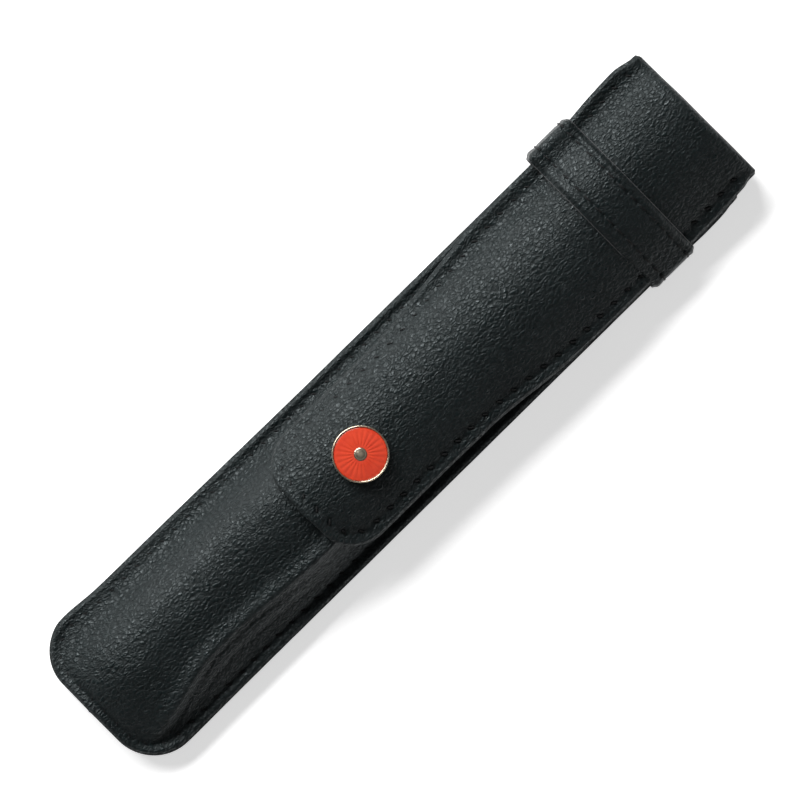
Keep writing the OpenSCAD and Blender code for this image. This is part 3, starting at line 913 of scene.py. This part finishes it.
def strip_piece(name, s_values, nc, layers, relief, skip, uv_shift=0.0):
    """Leather and lining of one length of the strip."""
    s = np.repeat(np.asarray(s_values)[:, None], nc, 1)
    f = clustered(nc, 1.4)[None, :]
    y0 = strip_path(s)[0]
    front = s > 0
    la = np.where(front, side_length(y0, flap_side(y0, -1) - flap_cut(y0), -1), side_left(y0) / FLAT)
    lb = np.where(front, side_length(y0, flap_side(y0, 1) - flap_cut(y0), 1), side_right(y0) / FLAT)
    # round the fold the back's width passes into the flap's width
    t = ease((s + FRONT_S0) / (2 * FRONT_S0))
    top = np.full_like(y0, Y_FOLD)
    fl, fr = flap_lengths(top)
    turning = np.abs(s) <= FRONT_S0
    la = np.where(turning, side_left(top) / FLAT * (1 - t) + fl * t, la)
    lb = np.where(turning, side_right(top) / FLAT * (1 - t) + fr * t, lb)
    inset = 0.3
    a = np.where(f < 0, f * (la - inset), f * (lb - inset))
    depth = np.minimum(la + a, lb - a)
    skin_t, under_t = layers(s)
    outer = strip_point(a, s, relief(a, s, y0, depth))
    inner = strip_point(a, s, -skin_t)
    uv = np.stack([a + uv_shift, -s + FRONT_S0], -1)
    skin = slab(name + "_skin", outer, inner, uv, rim=4, skip=skip)
    # the lining is a little narrower and has half the rows and columns
    rows = np.unique(np.append(np.arange(0, len(s), 2), len(s) - 1))
    sheets = [strip_point(a * 0.985, s, -skin_t - 0.01), strip_point(a * 0.985, s, -skin_t - under_t), uv]
    under = slab(name + "_under", *(g[rows][:, ::2] for g in sheets), rim=2, bulge=0.3, skip=skip)
    return skin, under


def fold_relief(a, s, y0, d):
    """Relief of the back and the fold: seam groove near the sides of the back, rolled edges."""
    back = s < -FRONT_S0
    z = np.where(back, -0.2 * bell((d - STITCH_IN) / 0.8), 0)
    z -= 0.5 * (1 - ease((d - 0.1) / 1.05)) ** 1.8
    x, y = a * FLAT, y0
    z -= np.where(back, pits(x, y, body_line, body_dir, 0.3), 0)
    return z + 0.05 * noise2(a, s, 7, 31)


def front_relief(a, s, y0, d):
    """Relief of the fold that passes into the relief of the flap."""
    turn = 1 - ease((s - FRONT_S0 + 0.8) / 3.0)
    y = FRONT_S0 + Y_FOLD - np.maximum(s, FRONT_S0)
    return fold_relief(a, s, y0, d) * turn + flap_relief(a, y) * (1 - turn)


def spaced(a, b, step):
    return np.linspace(a, b, max(3, int(abs(b - a) / step)))


def back_layers(s):
    """Thickness of leather and lining, less towards the fold."""
    thin = ease((s + FRONT_S0 + 4) / 4)
    return BACK_T - 0.2 * thin, 0.7 - 0.1 * thin


def front_layers(s):
    return np.full_like(s, 0.8), np.full_like(s, 0.6)


def tongue_rows():
    th = np.radians(np.linspace(90, 0, 44))
    inset = 0.4
    low = Y_TIP + inset + (TIP_R - inset) * (1 - np.cos(th))
    high = np.arange(SPLIT_Y, low[0] + 0.15, -0.3)
    return s_front(np.concatenate([high, low]))


# back above the keeper's middle, up to the middle of the fold
fold_back_skin, fold_back_under = strip_piece(
    "fold_back", spaced(-float(s_front(SPLIT_Y)), 0.0, 0.4), 110, back_layers, fold_relief,
    ("first", "last"), uv_shift=200)
# middle of the fold, over the front, to under the keeper
flap_skin, flap_under = strip_piece(
    "flap_upper", spaced(0.0, float(s_front(SPLIT_Y)), 0.3), 150, front_layers, front_relief, ("first", "last"))
# from under the keeper to the rounded tip
tongue_skin, tongue_under = strip_piece("tongue", tongue_rows(), 150, front_layers, front_relief, ("first",))

for skin, under, old_skin, old_under in (
        (fold_back_skin, fold_back_under, ["fold_leather"], ["fold_lining"]),
        (flap_skin, flap_under, ["flap_leather", "flap_stiffener"], ["flap_lining"]),
        (tongue_skin, tongue_under, ["tongue_leather", "tongue_stiffener"], ["tongue_lining"])):
    dress(skin, LEATHER, None, old_skin)
    dress(under, LINING, None, old_under)


# stitches of the flap and the tongue
def on_flap(a, y, lift):
    return strip_point(np.array([a]), s_front(np.array([y])), np.array([lift]))[0]


THREAD_SINK = 0.3
upper, lower = [], []
for (a, y), (ta, ty) in zip(flap_line, flap_dir):
    here = on_flap(a, y, -THREAD_SINK)
    up_to = on_flap(a, y, 0.7)
    ahead = on_flap(a + ta * 0.2, y + ty * 0.2, -THREAD_SINK)
    place = (here, ahead - here, up_to - here)
    (lower if y < SPLIT_Y else upper).append(place)
upper_thread = stitches("flap_upper_thread", upper, **SEAM_STITCH)
lower_thread = stitches("tongue_thread", lower, **SEAM_STITCH)
dress(upper_thread, THREAD, None, ["flap_stitching"])
dress(lower_thread, THREAD, None, ["tongue_stitching"])

for piece in (fold_back_skin, fold_back_under):
    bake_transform(piece)
for piece in (flap_skin, flap_under, upper_thread):
    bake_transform(piece)
for piece in (tongue_skin, tongue_under, lower_thread):
    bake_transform(piece)


# ------------------------ keeper
def keeper_loop():
    """Closed line round the pouch and the flap, with outward directions, evenly spaced."""
    ends = [w[0] for w in flap_lengths(np.array([KEEP_MID]))]
    a = np.concatenate([-np.linspace(ends[0], 0.1, 60), np.linspace(0.1, ends[1], 60)])
    y = np.full_like(a, KEEP_MID)
    x, drop, _ = flap_shape(a, y)
    pts = [np.stack([x, Z_FLAP - drop], 1)]
    wl, wr = side_left(KEEP_MID) + 0.55, side_right(KEEP_MID) - 0.15
    pts.append(np.array([[-wl, Z_BACK], [wr, Z_BACK], [-wl, Z_MARGIN - 0.3], [wr, Z_MARGIN - 0.3]]))
    pts = np.concatenate(pts)
    ph = np.radians(np.linspace(-90, 270, 1441)[:-1])
    n = np.stack([np.cos(ph), np.sin(ph)], 1)
    best = pts[np.argmax(pts @ n.T, axis=0)]
    line = np.concatenate([best, best[:1]])
    dirs = np.concatenate([n, n[:1]])
    # the arcs at the corners count as length too, so the spacing stays even outside
    outer = line + dirs * 1.3
    s = np.concatenate([[0], np.cumsum(np.linalg.norm(np.diff(outer, axis=0), axis=1))])
    m = 300
    at = np.linspace(0, s[-1], m, endpoint=False)
    base = np.stack([np.interp(at, s, line[:, k]) for k in range(2)], 1)
    d = unit(np.stack([np.interp(at, s, dirs[:, k]) for k in range(2)], 1))
    # the band is pressed down on the flat margin beside the bulge
    order = np.argsort(x)
    near = np.interp(base[:, 0], x[order], (Z_FLAP - drop)[order])
    top = (base[:, 1] > 6) & (base[:, 0] < -2) & (base[:, 0] > x.min() + 0.25)
    sag = np.where(top, 0.75 * (base[:, 1] - near), 0) * ease((base[:, 0] - x.min()) / 1.2)
    base[:, 1] -= sag
    ahead = np.roll(base + 0.7 * d, -2, axis=0) - np.roll(base + 0.7 * d, 2, axis=0)
    turned = np.stack([ahead[:, 1], -ahead[:, 0]], 1)
    turned = unit(turned * np.sign(np.sum(turned * d, 1))[:, None])
    share = ease(sag / 0.2)[:, None]
    return base, unit(d * (1 - share) + turned * share), at, s[-1]


keep_base, keep_out, keep_s, keep_len = keeper_loop()
KEEP_ROWS = (KEEP_Y0 + 2.75, KEEP_Y1 - 1.9)
KEEP_PITCH = 3.05
keep_count = int(round(keep_len / KEEP_PITCH))


def keeper_face(y, s):
    """Outside of the band over the loop: turned edges, seam grooves and thread dents."""
    e0, e1 = y - KEEP_Y0, KEEP_Y1 - y
    h = 1.16 + 0.0 * y
    h = h + 0.05 * bell((e0 - 1.4) / 0.8) + 0.05 * bell((e1 - 1.2) / 0.7)
    h -= 0.55 * (1 - ease(e0 / 1.15)) ** 1.6 + 0.5 * (1 - ease(e1 / 1.1)) ** 1.6
    for r in KEEP_ROWS:
        h -= 0.15 * bell((y - r) / 0.45)
        ph = (s / keep_len * keep_count) % 1.0
        gap = np.minimum(ph, 1 - ph) * keep_len / keep_count
        h -= 0.24 * bell((y - r) / 0.34) * bell(gap / 0.5)
    h += 0.04 * noise2(s, y, 6, 41)
    return h


def build_keeper():
    ys = KEEP_Y0 + (KEEP_Y1 - KEEP_Y0) * (clustered(56, 1.3) + 1) / 2
    m = len(keep_s)
    S, Y = np.meshgrid(keep_s, ys, indexing="ij")

    def ring(lift):
        return np.stack([keep_base[:, None, 0] + keep_out[:, None, 0] * lift, Y,
                         keep_base[:, None, 1] + keep_out[:, None, 1] * lift], -1)

    def closed(name, outer, inner, rim):
        nr, nc = outer.shape[:2]
        idx = np.arange(nr * nc).reshape(nr, nc)
        nxt = np.roll(idx, -1, axis=0)
        q = grid_faces(idx, nxt)
        base = nr * nc
        faces = [q, q[:, ::-1] + base]
        verts = [flat(outer), flat(inner)]
        uv = flat(np.stack([S, Y], -1))
        uvs = [uv, uv]
        count = 2 * base
        for col, sign in ((0, -1.0), (nc - 1, 1.0)):
            po, pi = outer[:, col], inner[:, col]
            mid, half = (po + pi) / 2, (po - pi) / 2
            size = np.linalg.norm(half, axis=1)[:, None]
            prev = idx[:, col]
            for k in range(1, rim + 1):
                th = math.pi * k / (rim + 1)
                bulge = np.array([0, sign, 0]) * size * math.sin(th) * 0.9
                verts.append(mid + half * math.cos(th) + bulge)
                uvs.append(np.stack([keep_s, Y[:, col] + sign * size[:, 0] * th], 1))
                cur = count + np.arange(nr)
                faces.append(band_faces(prev, cur))
                prev, count = cur, count + nr
            faces.append(band_faces(prev, idx[:, col] + base))
        return new_object(name, np.concatenate(verts), np.concatenate(faces).tolist(), np.concatenate(uvs))

    band = closed("keeper_leather_band", ring(keeper_face(Y, S)), ring(np.full_like(Y, 0.6)), 3)
    dress(band, LEATHER_KEEPER, "pouch", ["keeper_band"])
    pad = closed("keeper_lining_band", ring(np.full_like(Y, 0.59)), ring(np.full_like(Y, 0.2)), 2)
    dress(pad, LINING, "pouch", ["keeper_lining"])
    lift = 0.86
    for row, name, old in ((0, "keeper_thread_lower", "keeper_stitch_lower"),
                           (1, "keeper_thread_upper", "keeper_stitch_upper")):
        spots = []
        for k in range(keep_count):
            at = (k + 0.5) * keep_len / keep_count
            i = int(round(at / keep_len * m)) % m
            j = (i + 2) % m
            p = keep_base[i] + keep_out[i] * lift
            q = keep_base[j] + keep_out[j] * lift
            up = np.array([keep_out[i][0], 0, keep_out[i][1]])
            spots.append((np.array([p[0], KEEP_ROWS[row], p[1]]), np.array([q[0] - p[0], 0, q[1] - p[1]]), up))
        dress(stitches(name, spots, 2.2, 0.22, tilt=0.1, dip=0.5), THREAD, "pouch", [old])


build_keeper()


# ------------------------ badge
def lathe(name, profile, z, segments=96, wave=None):
    """A turned shape round the badge's own axis; profile is (radius, height above z)."""
    prof = np.asarray(profile, float)
    prof[:, 1] += z
    ang = np.linspace(0, 2 * math.pi, segments, endpoint=False)
    R, T = np.meshgrid(prof[:, 0], ang, indexing="ij")
    Z = np.repeat(prof[:, 1][:, None], segments, 1)
    if wave is not None:
        Z = Z + wave(R, T)
    centre = (rim_lo + rim_hi) / 2
    verts = flat(np.stack([centre[0] + R * np.cos(T), centre[1] + R * np.sin(T), Z], -1))
    obj = new_object(name, verts, tube_faces(np.arange(len(prof) * segments).reshape(len(prof), segments)))
    # the points on the axis become one
    bm = bmesh.new()
    bm.from_mesh(obj.data)
    bmesh.ops.remove_doubles(bm, verts=bm.verts, dist=1e-7)
    bm.to_mesh(obj.data)
    bm.free()
    obj.data.shade_smooth()
    return obj


def build_badge():
    r = (rim_hi[0] - rim_lo[0]) / 2
    rim = [(0, -0.15), (r - 0.5, -0.15), (r - 0.12, -0.1), (r, 0.05)]
    bead = 0.17
    rim += [(r - bead + bead * math.cos(t), 0.72 + bead * math.sin(t)) for t in np.radians(np.arange(0, 181, 15))]
    rim += [(r - 0.36, 0.5), (r - 0.4, 0.36), (0, 0.36)]
    dress(lathe("badge_rim_cup", rim, Z_FLAP), CHAMPAGNE, "tongue", ["badge_rim"])
    ri = r - 0.38
    disc = [(0.0, 0.38), (ri, 0.38)]
    disc += [(ri * (1 - t), 0.66 + 0.3 * (1 - (1 - t) ** 2)) for t in np.linspace(0, 1, 26)]

    def rays(R, T):
        """Twenty-four fine rays between the cap and the rim."""
        inside = ease((R - 1.3) / 0.8) * (1 - ease((R - ri + 0.7) / 0.55))
        return 0.055 * inside * np.abs(np.cos(12 * T)) ** 1.5

    dress(lathe("badge_enamel_disc", disc, Z_FLAP, 288, rays), ENAMEL, "tongue", ["badge_enamel"])
    cap = [(0.0, 0.7), (1.3, 0.7), (1.32, 0.9), (1.27, 1.0), (1.12, 1.07), (0.95, 1.06), (0.86, 1.08),
           (0.6, 1.16), (0.3, 1.2), (0, 1.21)]
    dress(lathe("badge_cap_stud", cap, Z_FLAP, 64), CHAMPAGNE, "tongue", ["badge_cap"])
    ring = [(1.0, 0.28), (1.0, 0.03), (1.12, 0.0), (2.12, 0.0), (2.26, 0.06), (2.28, 0.28)]
    washer = lathe("badge_washer_ring", ring + ring[:1], washer_lo[2], 64)
    dress(washer, NICKEL, "tongue", ["badge_washer"])


build_badge()

# the tack is hidden between the keeper and the back: its CAD node stays and gets the thread material
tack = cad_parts["keeper_tack"]
tack.data.materials.clear()
tack.data.materials.append(THREAD)

# ------------------------ floor, light and camera
floor_mesh = bpy.data.meshes.new("floor")
FLOOR = 2
floor_mesh.from_pydata([(-FLOOR, -FLOOR, 0), (FLOOR, -FLOOR, 0), (FLOOR, FLOOR, 0), (-FLOOR, FLOOR, 0)],
                       [], [(0, 1, 2, 3)])
floor = bpy.data.objects.new("floor", floor_mesh)
bpy.context.collection.objects.link(floor)
floor_material, _, fb = material("floor_white")
fb.inputs["Base Color"].default_value = (0.9, 0.9, 0.9, 1)
fb.inputs["Roughness"].default_value = 0.9
fb.inputs["Emission Color"].default_value = (1, 1, 1, 1)
fb.inputs["Emission Strength"].default_value = 0.6
floor_mesh.materials.append(floor_material)

world = bpy.data.worlds.new("studio")
bpy.context.scene.world = world
world.use_nodes = True
world.node_tree.nodes["Background"].inputs[0].default_value = (1, 1, 1, 1)
world.node_tree.nodes["Background"].inputs[1].default_value = 0.07


def softbox(name, place, size, power):
    """A rectangular light that looks at the middle of the case."""
    data = bpy.data.lights.new(name, "AREA")
    data.shape, data.size, data.size_y = "RECTANGLE", size[0], size[1]
    data.energy = power
    obj = bpy.data.objects.new(name, data)
    obj.location = place
    obj.rotation_euler = (Vector() - Vector(place)).to_track_quat("-Z", "Y").to_euler()
    bpy.context.collection.objects.link(obj)


softbox("key", (-0.71, 0.1, 0.58), (0.85, 0.34), 13.8)
softbox("top", (0.0, 0.0, 1.7), (1.2, 1.2), 0.65)

camera = bpy.data.objects.new("camera", bpy.data.cameras.new("camera"))
bpy.context.collection.objects.link(camera)
DISTANCE = 3.0
VIEW_WIDTH = 0.1546  # metres of the floor that the picture shows
CASE_SLANT = 44.55  # degrees between the case and the picture's lower edge
SENSOR = 36
camera.location = (-0.0017, 0.00255, DISTANCE + 0.006)
camera.rotation_euler = (0, 0, math.radians(90 - CASE_SLANT))
camera.data.sensor_width = SENSOR
camera.data.lens = SENSOR * DISTANCE / VIEW_WIDTH
camera.data.clip_start = 0.05
bpy.context.scene.camera = camera
bpy.context.scene.view_settings.view_transform = "Standard"
